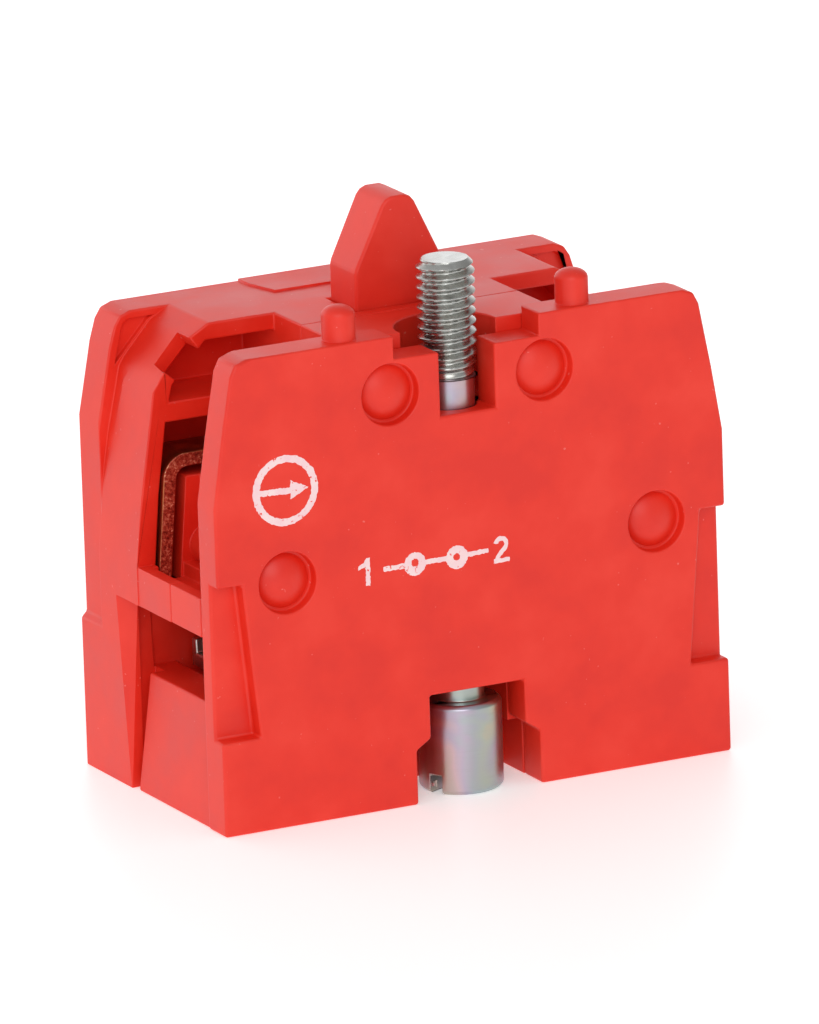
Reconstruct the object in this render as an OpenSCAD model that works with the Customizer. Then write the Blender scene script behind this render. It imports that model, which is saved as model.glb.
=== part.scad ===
// Single normally-closed contact block for an emergency stop button.
// Three red mouldings (housing, inner frame, cover) hold a sprung plunger, a contact
// bridge, two fixed contacts with screw terminals, and a captive M4 fixing screw.
// Every module is modelled with its front face on y = 0 and is centred by placed().

/* [Body] */
// Overall width, terminal side to terminal side
body_w = 38.7; // [38.3:0.1:39.2]
// Overall depth, front of the cover to the back of the housing
body_d = 21.6; // [21.4:0.1:22.4]
// Height of the cover's top edge above the base
cover_h = 33.0; // [32.8:0.1:33.4]
// Height of the housing's top face above the base
housing_h = 32.4; // [32.2:0.1:32.6]
// Thickness of the front cover
cover_t = 2.7; // [2.6:0.05:2.75]
// Thickness of the housing's rear plate
rear_t = 3.2; // [2.6:0.1:3.4]

/* [Plunger] */
// Width of the plunger
plunger_w = 6.8; // [6.4:0.1:6.9]
// Thickness of the plunger's nose, front to back
nose_t = 4.2; // [4.0:0.1:4.4]
// Height of the plunger's tip above the base at rest
tip_h = 40.0; // [39:0.1:41]
// Travel of the plunger
travel = 4.5; // [4.0:0.1:4.6]
// Gap over the bridge that the plunger takes up as it is pressed
wipe = 1.0; // [0.95:0.05:1.1]

/* [Fixing screw] */
// Thread radius of the captive screw
thread_r = 2.0; // [1.9:0.05:2.0]
// Shank radius below the thread
shank_r = 1.75; // [1.6:0.05:1.75]
// Radius of the slotted head
head_r = 2.9; // [2.7:0.05:2.9]
// Height of the slotted head
head_h = 6.3; // [6:0.1:6.4]
// Height of the screw's end above the base
screw_top = 37.1; // [36:0.1:38]

/* [Terminals] */
// Distance of a terminal screw from the centre line
term_x = 10.6; // [10.5:0.05:10.7]
// Radius of a terminal screw's thread
term_r = 1.75; // [1.5:0.05:1.75]
// Radius of a terminal screw's head
term_head_r = 3.0; // [2.8:0.05:3.0]
// Thickness of the contact strips
strip_t = 0.95; // [0.8:0.05:0.95]

/* [Hidden] */
$fn = 64;
half_w = body_w / 2;
eps = 0.01;

// Depths of the main planes, from the front of the cover
mid_front = 12.4;
block_front = 12.0;
rear_front = body_d - rear_t;
frame_back = 8.4;
tongue_back = 7.4;
frame_front = cover_t + 0.02;
arm_front = cover_t + 0.1;

// The nose stands a little in front of the carriage that the springs and bridge share
nose_y = 11.6;
mech_y = 13.75;
carriage_hy = 2.75;
carriage_top = 30.9;
spring_gap = 0.5;
carriage_bottom = 7.2 + travel + spring_gap;
window_floor = 14.4;
guide_gap = 0.15;

// Contact bridge and the contact faces
bridge_top = 20.95;
bridge_t = 0.8;
bridge_hx = 8.9;
bridge_hy = 1.7;
tip_r = 1.5;
tip_x = 7.2;
rivet_r = 0.8;
contact_face = 21.85;
contact_gap = 0.05;
leg_top = 23.7;
leg_bottom = leg_top - strip_t;
strip_top_x = 17.25;
strip_foot_x = 18.0;
strip_y0 = 12.05;
strip_y1 = 15.45;
slot_y1 = 15.7;
bend_r = 1.8;

// Terminal stack, from the driver's side upwards
term_y = 11.0;
pad_bottom = 13.7;
pad_hy = 3.1;
term_head_z = 4.6;
term_head_h = 2.4;
washer_t = 0.8;
clamp_t = 1.0;
clamp_z = term_head_z + term_head_h + washer_t;
clamp_hx = 3.6;
clamp_hy = 4.0;
ear_t = 0.7;
term_tip = 16.0;
fit_gap = 0.03;

// Fixing screw
screw_y = 2.9;
screw_hole_r = shank_r + 0.1;
slot_floor = 26.9;
thread_z = 28.9;
relief_z = 31.4;
relief_h = 0.6;
spine_bottom = 7.7;
notch_top = 7.5;

// Staked pins that hold the three mouldings together: [x, z]
pins = [[5.86, 29.0], [14.05, 17.1]];
pin_r = 1.45;
dome_r = 1.92;
dome_h = 0.75;
counterbore_r = 2.15;
counterbore_d = 0.82;

// Side window, wire entry and ramp
bar_z0 = 13.4;
bar_z1 = 16.1;
bar_pocket_x = 18.3;
bar_pocket_z = 15.1;
entry_z0 = 8.2;
ramp_inset = 1.3;
entry_y = 14.45;
entry_back = 15.3;
lip_x = 18.4;
entry_x = 15.2;
shelf_z0 = 25.9;
shelf_z1 = 27.3;
bar_x = 16.1;
chamber_x = 13.3;
chamber_wall_x = 14.5;
block_top = 22.1;
tower_hx = 8.3;
tower_z = 24.0;
floor_t = 2.4;

module placed() translate([0, -body_d / 2, 0]) children();

// Extrudes an x-z outline from depth y0 to depth y1
module prism_y(y0, y1) translate([0, y1, 0]) rotate([90, 0, 0]) linear_extrude(y1 - y0) children();

// Cylinder along +y
module rod_y(r, y0, y1) translate([0, y0, 0]) rotate([-90, 0, 0]) cylinder(r = r, h = y1 - y0);

module box(x0, x1, y0, y1, z0, z1) translate([x0, y0, z0]) cube([x1 - x0, y1 - y0, z1 - z0]);

module both_sides() {
    children();
    mirror([1, 0, 0]) children();
}

function mirrored(points) = concat(points, [for (i = [len(points) - 1:-1:0]) [-points[i][0], points[i][1]]]);

// ---- housing ---------------------------------------------------------------

module rear_outline() polygon(mirrored([
    [half_w, 0], [half_w, 10.5], [half_w - 0.4, 10.9], [half_w - 0.4, 24.8], [half_w - 1.4, 29.9],
    [half_w - 1.85, 31.4], [half_w - 2.3, 32.1], [half_w - 3.1, housing_h]
]));

module mid_outline() polygon(mirrored([
    [half_w, 0], [half_w, bar_z1], [half_w - 0.55, 20.9], [half_w - 1.7, 28.1], [half_w - 2.5, 29.3],
    [14.8, 31.55], [13.3, housing_h]
]));

module lower_outline() polygon(mirrored([[half_w, 0], [half_w, bar_z1]]));

// Cavity behind the octagonal mouth in each upper corner
module corner_cavity_outline() polygon([
    [tower_hx, shelf_z1], [16.45, shelf_z1], [16.15, 28.45], [13.55, 31.2], [tower_hx, 31.2]
]);

// Space round the leg of a contact strip, and over the block that carries its upper end
module strip_slot_outline() polygon([
    [16.4, pad_bottom - 0.1], [strip_foot_x + 0.1, pad_bottom - 0.1], [strip_top_x + 0.2, 21],
    [16.75, shelf_z0], [5, shelf_z0], [5, block_top], [15.6, block_top]
]);

// Block that carries the upper end of a contact strip
module block_outline() polygon(mirrored([[16.5, bar_z1 - 0.5], [15.6, block_top]]));

// Notch for a latch in the edge of the sloping wall
module latch_notch_outline() polygon([[14.05, 30.55], [15.4, 32.4], [18, 32.4], [17.7, 30.25], [15.6, 28.5]]);

// Sunk panel in each upper corner of the rear plate's front face
module corner_panel_outline() polygon([
    [14.5, 31.85], [16.3, 31.85], [16.85, 31.45], [17.15, 30.6], [17.55, 28.8], [17.1, 29.3], [15, 31.6]
]);

// Slanted lead-in below a wire entry, the flare behind it, and the undercut slot between the two
module wire_funnel() {
    hull() {
        box(half_w - ramp_inset, half_w + 1, arm_front - 1, entry_y, entry_z0, entry_z0 + eps);
        box(half_w, half_w + 1, arm_front - 1, entry_y, -1, 0);
    }
    hull() {
        translate([0, 0, bar_z0 - eps]) linear_extrude(eps)
            polygon([[lip_x, entry_y - eps], [half_w + 1, entry_y - eps], [half_w + 1, 17.4]]);
        translate([0, 0, -1]) linear_extrude(1)
            polygon([[half_w, entry_y - 0.05], [half_w + 1, entry_y - 0.05], [half_w + 1, 15.6]]);
    }
    translate([17.0, 0, 0]) rotate([90, 0, 90]) linear_extrude(lip_x - 17.0)
        polygon([[13.7, -1], [entry_y, -1], [entry_y, 0], [entry_back, bar_z0], [13.7, bar_z0]]);
    box(17.0, half_w + 1, 13.7, entry_y, -1, entry_z0 + eps);
}

// Tapering groove between the rear plate and the side wall
module side_groove() hull() {
    box(16.9, half_w + 1, rear_front - 1.6, rear_front, 30.2, 30.3);
    box(half_w - 0.15, half_w + 1, rear_front - 0.4, rear_front, 19.9, 20.0);
}

module staked_pin(x, z) translate([x, 0, z]) {
    rod_y(pin_r, counterbore_d, block_front + eps);
    intersection() {
        cap_r = (dome_r * dome_r + dome_h * dome_h) / (2 * dome_h);
        translate([0, counterbore_d - dome_h + cap_r, 0]) sphere(r = cap_r);
        rod_y(dome_r, 0, counterbore_d + eps);
    }
}

module housing_cavities() {
    // mechanism chamber, with the guide rib for the carriage left standing at the back
    difference() {
        union() {
            box(-chamber_x, chamber_x, frame_back - eps, 17.2, 14.7, tower_z);
            box(-5.6, 5.6, frame_back - eps, 17.2, floor_t, 14.8);
        }
        box(-3, 3, mech_y + carriage_hy + guide_gap, 18, 0, 40);
    }
    // plunger slot through the tower
    box(-plunger_w / 2 - guide_gap, plunger_w / 2 + guide_gap,
        mech_y - carriage_hy - guide_gap, mech_y + carriage_hy + guide_gap, 14, 31.2);
    box(-plunger_w / 2 - guide_gap, plunger_w / 2 + guide_gap,
        nose_y - nose_t / 2 - guide_gap, nose_y + nose_t / 2 + guide_gap, 22, 40);
    both_sides() {
        prism_y(mid_front - 1, 17.4) corner_cavity_outline();
        prism_y(block_front - 0.1, slot_y1) strip_slot_outline();
        box(tower_hx, 16.6, slot_y1 - eps, 17.2, block_top, shelf_z0);
        box(bar_x - 0.1, bar_pocket_x, tongue_back - eps, block_front, bar_pocket_z, bar_z1 + 1);
        prism_y(0, 14.2) latch_notch_outline();
        prism_y(rear_front - eps, rear_front + 0.4) corner_panel_outline();
        // terminal chamber, its wire entry and the driver's access bore
        box(term_x - clamp_hx - 0.1, entry_x + eps, 6.7, 15.3, clamp_z - 0.3, 14.8);
        box(entry_x, half_w + 1, arm_front - 1, entry_y, entry_z0, bar_z0);
        box(entry_x, 17.1, entry_y - eps, entry_back, entry_z0, bar_z0);
        box(chamber_x - eps, strip_foot_x + 0.1, 7.6, slot_y1, pad_bottom - 0.1, 14.8);
        translate([term_x, term_y, -1]) cylinder(r = term_head_r + 0.3, h = clamp_z + 1);
        wire_funnel();
        side_groove();
        // core-outs in the base
        box(15.6, 18.0, 15.8, 19.9, -1, 6);
        box(7.2, 14.6, 15.4, 19.9, -1, 6);
    }
    // room for the spine, and the pocket for the fixing screw's head
    box(-5.05, 5.05, 0, frame_back, spine_bottom, entry_z0 + 1);
    translate([0, screw_y, -1]) cylinder(r = 3.6, h = spine_bottom + 1 + eps);
    box(-3.6, 3.6, 0, screw_y, -1, spine_bottom + eps);
    box(-4.7, 4.7, 0, 6.2, -1, 4.0);
    box(-5.6, 5.6, 15.4, 19.9, -1, 6);
}

module housing() placed() color("#e8392d") {
    difference() {
        union() {
            prism_y(rear_front, body_d) rear_outline();
            prism_y(mid_front, rear_front) mid_outline();
            prism_y(arm_front, mid_front + eps) intersection() {
                lower_outline();
                translate([-half_w, 0]) square([body_w, entry_z0]);
            }
            // side bars, and the blocks that carry the fixed contacts
            box(-half_w + 0.05, half_w - 0.05, tongue_back, mid_front + eps, entry_z0 - eps, bar_z1);
            prism_y(block_front, mid_front + eps) block_outline();
            box(-chamber_wall_x, chamber_wall_x, frame_back, mid_front + eps, bar_z1 - eps, block_top);
            // tower that guides the plunger
            box(-tower_hx, tower_hx, frame_back, mid_front + eps, 23, housing_h);
            // low step across the middle of the top
            translate([0, 0, housing_h - eps]) linear_extrude(0.15 + eps)
                polygon([[-5.8, 17.3], [5.8, 17.3], [6.5, 20], [6.5, body_d], [-6.5, body_d], [-6.5, 20]]);
        }
        housing_cavities();
        // keeps the space in front of the inner frame's back face free
        box(-15, 15, 0, frame_back, entry_z0, 40);
    }
    // post inside the return spring
    translate([0, mech_y, floor_t - eps]) cylinder(r = 1.2, h = 4);
    for (p = pins) both_sides() staked_pin(p[0], p[1]);
}

// ---- inner frame -----------------------------------------------------------

module inner_frame() placed() color("#e0342a") difference() {
    union() {
        // block in front of the tower
        box(-tower_hx, tower_hx, frame_front, frame_back, 24.4, housing_h);
        // spine that the fixing screw runs down
        box(-5, 5, frame_front, frame_back, spine_bottom, 24.4 + eps);
        // web that closes the mechanism chamber
        box(-chamber_wall_x, chamber_wall_x, tongue_back, frame_back, 15.0, block_top);
        both_sides() {
            // arm, and the tongue that fills the front half of the side bar
            box(4.9, half_w - 0.05, arm_front, tongue_back, 14.3, bar_z1);
            box(bar_x, half_w - 0.05, arm_front, tongue_back, bar_z0, bar_z1);
            translate([pins[1][0], 0, pins[1][1]]) rod_y(1.9, frame_front, tongue_back + eps);
        }
    }
    // the bars are hollow behind a thin outer wall
    both_sides() box(bar_x - 0.1, bar_pocket_x, arm_front + 0.8, tongue_back + eps, bar_pocket_z, bar_z1 + 1);
    // open channel round the thread, and the bore round the shank
    translate([0, screw_y, slot_floor]) cylinder(r = 3.6, h = 20);
    box(-3.6, 3.6, 0, screw_y, slot_floor, 40);
    translate([0, screw_y, 0]) cylinder(r = screw_hole_r, h = 40);
    for (p = pins) both_sides() translate([p[0], 0, p[1]]) rod_y(pin_r + 0.05, 0, frame_back + 1);
}

// ---- cover -----------------------------------------------------------------

module cover_outline() difference() {
    polygon(mirrored([
        [half_w, 0], [half_w, 22.9], [half_w - 0.7, 27.3], [half_w - 1.55, 31.9],
        [half_w - 1.95, 32.7], [half_w - 2.8, cover_h]
    ]));
    translate([-5.5, 31.4]) square([11, 5]);
    translate([-2.08, slot_floor]) square([4.16, 10]);
    polygon(mirrored([[4.7, -1], [4.7, 3.8], [3.6, 4.5], [3.6, notch_top]]));
}

module side_recess() prism_y(-1, 1.2) polygon([
    [half_w + 1, 6.6], [16.45, 6.6], [17.45, 17.4], [half_w + 1, 17.4]
]);

module locating_peg() translate([8.85, 1.55, cover_h - 0.3]) {
    cylinder(r = 1.15, h = 2.0);
    translate([0, 0, 2.0]) scale([1, 1, 0.6]) sphere(r = 1.15);
}

module cover() placed() color("#ea3a2e") {
    difference() {
        prism_y(0, cover_t) cover_outline();
        both_sides() {
            side_recess();
            for (p = pins) translate([p[0], 0, p[1]]) {
                rod_y(counterbore_r, -1, counterbore_d);
                rod_y(pin_r + 0.05, -1, cover_t + 1);
            }
        }
        translate([0, screw_y, -1]) cylinder(r = head_r + 0.3, h = notch_top + 1);
        translate([0, screw_y, 0]) cylinder(r = screw_hole_r, h = slot_floor + 1);
    }
    both_sides() locating_peg();
}

// ---- plunger ---------------------------------------------------------------

module nose_outline() polygon(mirrored([
    [plunger_w / 2, 26.5], [plunger_w / 2, 34.8], [plunger_w / 2 - 0.1, 35.2],
    [1.25, tip_h - 0.55], [0.95, tip_h - 0.2], [0.5, tip_h]
]));

// The nose from above: its front is two planes that meet in a low ridge down the middle
module nose_plan() let (front = nose_y - nose_t / 2) polygon([
    [0, front], [plunger_w, front + 0.5], [plunger_w, front + nose_t + 1],
    [-plunger_w, front + nose_t + 1], [-plunger_w, front + 0.5]
]);

module plunger() placed() color("#e8392d") difference() {
    union() {
        intersection() {
            prism_y(nose_y - nose_t / 2, nose_y + nose_t / 2) nose_outline();
            linear_extrude(tip_h + 1) nose_plan();
        }
        box(-plunger_w / 2, plunger_w / 2, mech_y - carriage_hy, mech_y + carriage_hy,
            carriage_bottom, carriage_top);
    }
    // window that the bridge passes through
    box(-plunger_w, plunger_w, mech_y - bridge_hy - guide_gap, mech_y + bridge_hy + guide_gap,
        window_floor, bridge_top + wipe);
    // seat for the return spring
    translate([0, mech_y, carriage_bottom - 1]) cylinder(r = 2.2, h = 2.2);
}

// ---- contact bridge and springs ----------------------------------------------

module bridge() placed() color("#b87945") difference() {
    translate([0, 0, bridge_top - bridge_t]) linear_extrude(bridge_t) intersection() {
        translate([-bridge_hx, mech_y - bridge_hy]) square([2 * bridge_hx, 2 * bridge_hy]);
        translate([0, mech_y]) circle(r = bridge_hx + 0.05);
    }
    both_sides() translate([tip_x, mech_y, 0]) cylinder(r = rivet_r, h = 40);
}

// Contact rivet standing on z = 0 with its face up, on a strip of thickness t
module contact_rivet(head, t) {
    cylinder(r = tip_r, h = head - 0.15);
    intersection() {
        translate([0, 0, head - 7.5]) sphere(r = 7.5);
        cylinder(r = tip_r, h = head);
    }
    translate([0, 0, -t]) cylinder(r = rivet_r, h = t + eps);
}

module bridge_tip(side) placed() color("#c9c9c4")
    translate([side * tip_x, mech_y, bridge_top])
        contact_rivet(contact_face - contact_gap - bridge_top, bridge_t);

// Round wire of radius wire_r wound at mean radius coil_r from z0 to z1
module coil_spring(coil_r, wire_r, z0, z1, turns) {
    sides = 6;
    rings = turns * 14;
    base = z0 + wire_r;
    rise = z1 - z0 - 2 * wire_r;
    // the first and last turn lie flat, and the pitch is even between them
    function lift(u) = rise * min(1, max(0, (u * turns - 0.75) / (turns - 1.5)));
    function at(i, j) = let (u = i / rings, a = 360 * turns * u, b = 360 * j / sides)
        [(coil_r + wire_r * cos(b)) * cos(a), (coil_r + wire_r * cos(b)) * sin(a),
         base + lift(u) + wire_r * sin(b)];
    points = [for (i = [0:rings]) for (j = [0:sides - 1]) at(i, j)];
    walls = [for (i = [0:rings - 1]) for (j = [0:sides - 1])
        let (k = (j + 1) % sides)
        each [[i * sides + j, (i + 1) * sides + j, (i + 1) * sides + k],
              [i * sides + j, (i + 1) * sides + k, i * sides + k]]];
    polyhedron(
        points = points,
        faces = concat([[for (j = [0:sides - 1]) j]],
                       [[for (j = [sides - 1:-1:0]) rings * sides + j]], walls)
    );
}

module contact_spring() placed() color("#aab0b4") translate([0, mech_y, 0])
    coil_spring(1.3, 0.2, window_floor + 0.02, bridge_top - bridge_t - 0.02, 6);

module return_spring() placed() color("#aab0b4") translate([0, mech_y, 0])
    coil_spring(1.75, 0.25, floor_t + 0.02, carriage_bottom + 1.18, 9);

// ---- fixed contacts ----------------------------------------------------------

module strip_outline() {
    polygon([
        [strip_foot_x, pad_bottom], [strip_top_x, leg_top - bend_r + eps],
        [strip_top_x - strip_t, leg_top - bend_r + eps], [strip_foot_x - strip_t, pad_bottom]
    ]);
    translate([strip_top_x - bend_r, leg_top - bend_r]) intersection() {
        difference() {
            circle(r = bend_r);
            circle(r = bend_r - strip_t);
        }
        square(bend_r);
    }
    translate([5.3, leg_bottom]) square([strip_top_x - bend_r - 5.3 + eps, strip_t]);
}

module fixed_contact(side) placed() color("#b0693f") mirror([side < 0 ? 1 : 0, 0, 0])
    difference() {
        union() {
            prism_y(strip_y0, strip_y1) strip_outline();
            box(7.6, strip_foot_x, term_y - pad_hy, term_y + pad_hy, pad_bottom, pad_bottom + strip_t);
            translate([term_x, term_y, pad_bottom]) cylinder(r = term_r + 0.75, h = strip_t + 1);
        }
        translate([tip_x, mech_y, 20]) cylinder(r = rivet_r, h = 10);
        translate([term_x, term_y, 0]) cylinder(r = term_r + fit_gap, h = 20);
    }

module fixed_tip(side) placed() color("#c9c9c4")
    translate([side * tip_x, mech_y, leg_bottom]) mirror([0, 0, 1])
        contact_rivet(leg_bottom - contact_face, strip_t);

// ---- screw terminals -----------------------------------------------------------

module terminal_screw(side) placed() color("#c2c4c0") translate([side * term_x, term_y, 0]) difference() {
    union() {
        translate([0, 0, term_head_z]) cylinder(r = term_head_r, h = term_head_h);
        translate([0, 0, term_head_z]) cylinder(r = term_r, h = term_tip - term_head_z);
    }
    rotate([0, 0, 35 * side]) box(-4, 4, -0.45, 0.45, term_head_z - 1, term_head_z + 1.2);
}

module lock_washer(side) placed() color("#b9bbb8")
    translate([side * term_x, term_y, clamp_z - washer_t + 0.02]) difference() {
        cylinder(r = term_head_r - 0.1, h = washer_t - 0.04);
        translate([0, 0, -1]) cylinder(r = term_r + 0.1, h = 3);
        rotate([0, 0, -70 * side]) box(0, 4, -0.25, 0.25, -1, 2);
    }

module clamp_plate(side) placed() color("#c6c2ae") translate([side * term_x, term_y, clamp_z]) difference() {
    union() {
        box(-clamp_hx, clamp_hx, -clamp_hy, clamp_hy, 0, clamp_t);
        for (s = [-1, 1]) box(-clamp_hx, clamp_hx, s * (clamp_hy - ear_t / 2) - ear_t / 2,
                              s * (clamp_hy - ear_t / 2) + ear_t / 2, 0, clamp_t + 1);
    }
    translate([0, 0, -1]) cylinder(r = term_r + 0.1, h = 4);
}

// ---- fixing screw --------------------------------------------------------------

module fixing_screw() placed() color("#b9bab8") translate([0, screw_y, 0]) difference() {
    union() {
        translate([0, 0, 0.25]) cylinder(r = head_r, h = head_h - 0.5);
        cylinder(r1 = head_r - 0.25, r2 = head_r, h = 0.25);
        translate([0, 0, head_h - 0.25]) cylinder(r1 = head_r, r2 = head_r - 0.25, h = 0.25);
        translate([0, 0, head_h - eps]) cylinder(r = shank_r, h = thread_z - head_h + 2 * eps);
        // the thread, with a narrow relief where the collar's tapped hole ends
        translate([0, 0, thread_z]) cylinder(r = thread_r, h = relief_z - thread_z);
        translate([0, 0, relief_z - eps]) cylinder(r = thread_r - 0.2, h = relief_h + 2 * eps);
        translate([0, 0, relief_z + relief_h])
            cylinder(r = thread_r, h = screw_top - 0.4 - relief_z - relief_h);
        translate([0, 0, screw_top - 0.4]) cylinder(r1 = thread_r, r2 = thread_r - 0.4, h = 0.4);
    }
    rotate([0, 0, 25]) box(-4, 4, -0.5, 0.5, -1, 1.3);
}

housing();
inner_frame();
cover();
plunger();
bridge();
bridge_tip(-1);  // bridge_tip_left
bridge_tip(1);  // bridge_tip_right
contact_spring();
return_spring();
fixed_contact(-1);  // fixed_contact_left
fixed_contact(1);  // fixed_contact_right
fixed_tip(-1);  // fixed_tip_left
fixed_tip(1);  // fixed_tip_right
terminal_screw(-1);  // terminal_screw_left
terminal_screw(1);  // terminal_screw_right
lock_washer(-1);  // lock_washer_left
lock_washer(1);  // lock_washer_right
clamp_plate(-1);  // clamp_plate_left
clamp_plate(1);  // clamp_plate_right
fixing_screw();
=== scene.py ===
"""Normally-closed contact block of an emergency stop button, dressed piece by piece round its CAD frame."""
import random
from math import atan2, cos, pi, radians, sin, tan, tau

import bmesh
import bpy
from mathutils import Matrix, Vector
from mathutils.kdtree import KDTree


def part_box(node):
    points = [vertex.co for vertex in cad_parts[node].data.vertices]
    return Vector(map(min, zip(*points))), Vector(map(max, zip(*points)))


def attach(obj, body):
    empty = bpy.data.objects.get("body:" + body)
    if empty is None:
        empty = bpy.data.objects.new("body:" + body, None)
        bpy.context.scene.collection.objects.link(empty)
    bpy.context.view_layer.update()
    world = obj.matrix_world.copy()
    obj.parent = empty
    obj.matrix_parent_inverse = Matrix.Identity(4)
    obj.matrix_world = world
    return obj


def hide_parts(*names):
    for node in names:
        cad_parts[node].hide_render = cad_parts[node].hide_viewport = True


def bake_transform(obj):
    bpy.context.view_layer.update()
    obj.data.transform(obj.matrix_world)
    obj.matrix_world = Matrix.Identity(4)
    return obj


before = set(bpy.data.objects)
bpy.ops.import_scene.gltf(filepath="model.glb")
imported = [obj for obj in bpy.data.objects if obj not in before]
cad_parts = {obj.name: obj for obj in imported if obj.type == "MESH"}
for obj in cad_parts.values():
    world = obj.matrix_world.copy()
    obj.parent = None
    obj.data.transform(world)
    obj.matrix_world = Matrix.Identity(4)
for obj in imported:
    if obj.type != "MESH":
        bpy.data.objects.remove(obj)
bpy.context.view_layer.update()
MM = 0.001

# ---- studio ------------------------------------------------------------------
# A white table in a light tent: even paper all round, brighter to the left and brightest behind,
# where the top faces mirror it, and one weak soft box to the left of the camera.
CAMERA_TURN = radians(26.52)
CAMERA_RISE = radians(15.28)
CAMERA_ROLL = radians(-1.91)
CAMERA_DISTANCE = 1045.9 * MM
CAMERA_LENS = 544.6
LOOKED_AT = Vector((-4.73, -10.8, 20.63)) * MM
TABLE_WHITE = "#F7F7F5"


def paint(sheet_hex):
    """An sRGB hex colour as linear red, green, blue and alpha"""
    parts = [int(sheet_hex[i:i + 2], 16) / 255 for i in (1, 3, 5)]
    return [c / 12.92 if c <= 0.04045 else ((c + 0.055) / 1.055) ** 2.4 for c in parts] + [1.0]


def add(tree, kind, inputs=(), **settings):
    """Adds a node with its settings; an input is a value, or another node's output to link"""
    node = tree.nodes.new(kind)
    for name, value in settings.items():
        setattr(node, name, value)
    for socket, value in dict(inputs).items():
        if isinstance(value, bpy.types.NodeSocket):
            tree.links.new(value, node.inputs[socket])
        else:
            node.inputs[socket].default_value = value
    return node


def new_material(name):
    material = bpy.data.materials.new(name)
    material.use_nodes = True
    material.node_tree.nodes.clear()
    return material, material.node_tree


def finish_surface(tree, inputs):
    """Ends a material with one Principled surface"""
    surface = add(tree, "ShaderNodeBsdfPrincipled", inputs)
    add(tree, "ShaderNodeOutputMaterial", {"Surface": surface.outputs["BSDF"]})


def place(piece_mesh, name):
    piece = bpy.data.objects.new(name, piece_mesh)
    bpy.context.scene.collection.objects.link(piece)
    return piece


camera = bpy.data.objects.new("camera", bpy.data.cameras.new("camera"))
bpy.context.scene.collection.objects.link(camera)
backwards = Vector((-sin(CAMERA_TURN) * cos(CAMERA_RISE), -cos(CAMERA_TURN) * cos(CAMERA_RISE),
                    sin(CAMERA_RISE)))
level_right = Vector((0, 0, 1)).cross(backwards).normalized()
level_up = backwards.cross(level_right)
camera_right = level_right * cos(CAMERA_ROLL) + level_up * sin(CAMERA_ROLL)
camera_up = level_up * cos(CAMERA_ROLL) - level_right * sin(CAMERA_ROLL)
camera.matrix_world = (Matrix.Translation(LOOKED_AT + backwards * CAMERA_DISTANCE)
                       @ Matrix((camera_right, camera_up, backwards)).transposed().to_4x4())
camera.data.lens = CAMERA_LENS
camera.data.clip_end = 20
bpy.context.scene.camera = camera
bpy.context.scene.view_settings.view_transform = "Standard"

table = bmesh.new()
bmesh.ops.create_grid(table, x_segments=8, y_segments=8, size=3)
table_mesh = bpy.data.meshes.new("table")
table.to_mesh(table_mesh)
table.free()
floor = place(table_mesh, "table")
white_laminate, tree = new_material("matt_white_laminate")
where = add(tree, "ShaderNodeTexCoord").outputs["Object"]
haze = add(tree, "ShaderNodeTexNoise", {"Vector": where, "Scale": 6.0, "Detail": 2.0})
shade = add(tree, "ShaderNodeMapRange", {0: haze.outputs["Fac"], 3: 0.42, 4: 0.46})
finish_surface(tree, {"Base Color": paint(TABLE_WHITE), "Roughness": shade.outputs[0],
                      "Emission Color": paint("#FFFFFF"), "Emission Strength": 0.36})
floor.data.materials.append(white_laminate)

paper = bpy.data.worlds.new("white paper surround")
bpy.context.scene.world = paper
paper.use_nodes = True
tree = paper.node_tree
tree.nodes.clear()
towards = add(tree, "ShaderNodeSeparateXYZ", {0: add(tree, "ShaderNodeTexCoord").outputs["Generated"]})
sides = add(tree, "ShaderNodeMapRange", {0: towards.outputs["X"], 1: -1.0, 2: 1.0, 3: 0.84, 4: 0.42})
behind = add(tree, "ShaderNodeMapRange", {0: towards.outputs["Y"], 1: 0.35, 2: 0.85, 3: 0.0, 4: 1.0},
             interpolation_type="SMOOTHSTEP")
low_down = add(tree, "ShaderNodeMapRange", {0: towards.outputs["Z"], 1: 0.3, 2: 0.7, 3: 1.0, 4: 0.0},
               interpolation_type="SMOOTHSTEP")
glow = add(tree, "ShaderNodeMath", {0: behind.outputs[0], 1: low_down.outputs[0], 2: sides.outputs[0]},
           operation="MULTIPLY_ADD")
light = add(tree, "ShaderNodeBackground", {"Color": paint("#FDFDFF"), "Strength": glow.outputs[0]})
add(tree, "ShaderNodeOutputWorld", {"Surface": light.outputs[0]})

soft_box = bpy.data.lights.new("soft box", "AREA")
soft_box.energy = 2.0
soft_box.size = 0.5
lamp = bpy.data.objects.new("soft box", soft_box)
bpy.context.scene.collection.objects.link(lamp)
lamp.location = (-0.3, -0.7, 0.4)
lamp.rotation_euler = (lamp.location - Vector((0, 0, 0.02))).to_track_quat("Z", "Y").to_euler()

# ---- housing -----------------------------------------------------------------
# The rear shell, injection moulded in red polyamide. Four pins are moulded on its front, pass
# through the inner frame and the cover, and are staked over into low domes by ultrasound.
# Satin, slightly wavy from shrinkage, with the fine even grain of a spark-eroded mould.
HOUSING_ROUND = 0.16 * MM
RED = "#E52C18"
RED_DEEP = "#DE2614"
RED_PALE = "#EA3624"
DUST = "#F4A49B"
GRAIN = 0.14 * MM           # real grain is about 0.03 mm, drawn coarser so that it shows
SHRINKAGE_WAVE = 4.5 * MM
SPECK = 0.35 * MM
SOFT_FOLD = radians(26)     # a fold between flat faces that is gentler than this stays unrounded
KNIFE_FOLD = radians(125)
SAME_RUN = radians(30)      # edges that meet within this are one line
ROOM_SHARE = 0.42           # of the distance to the next line that a rounding may take


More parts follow.
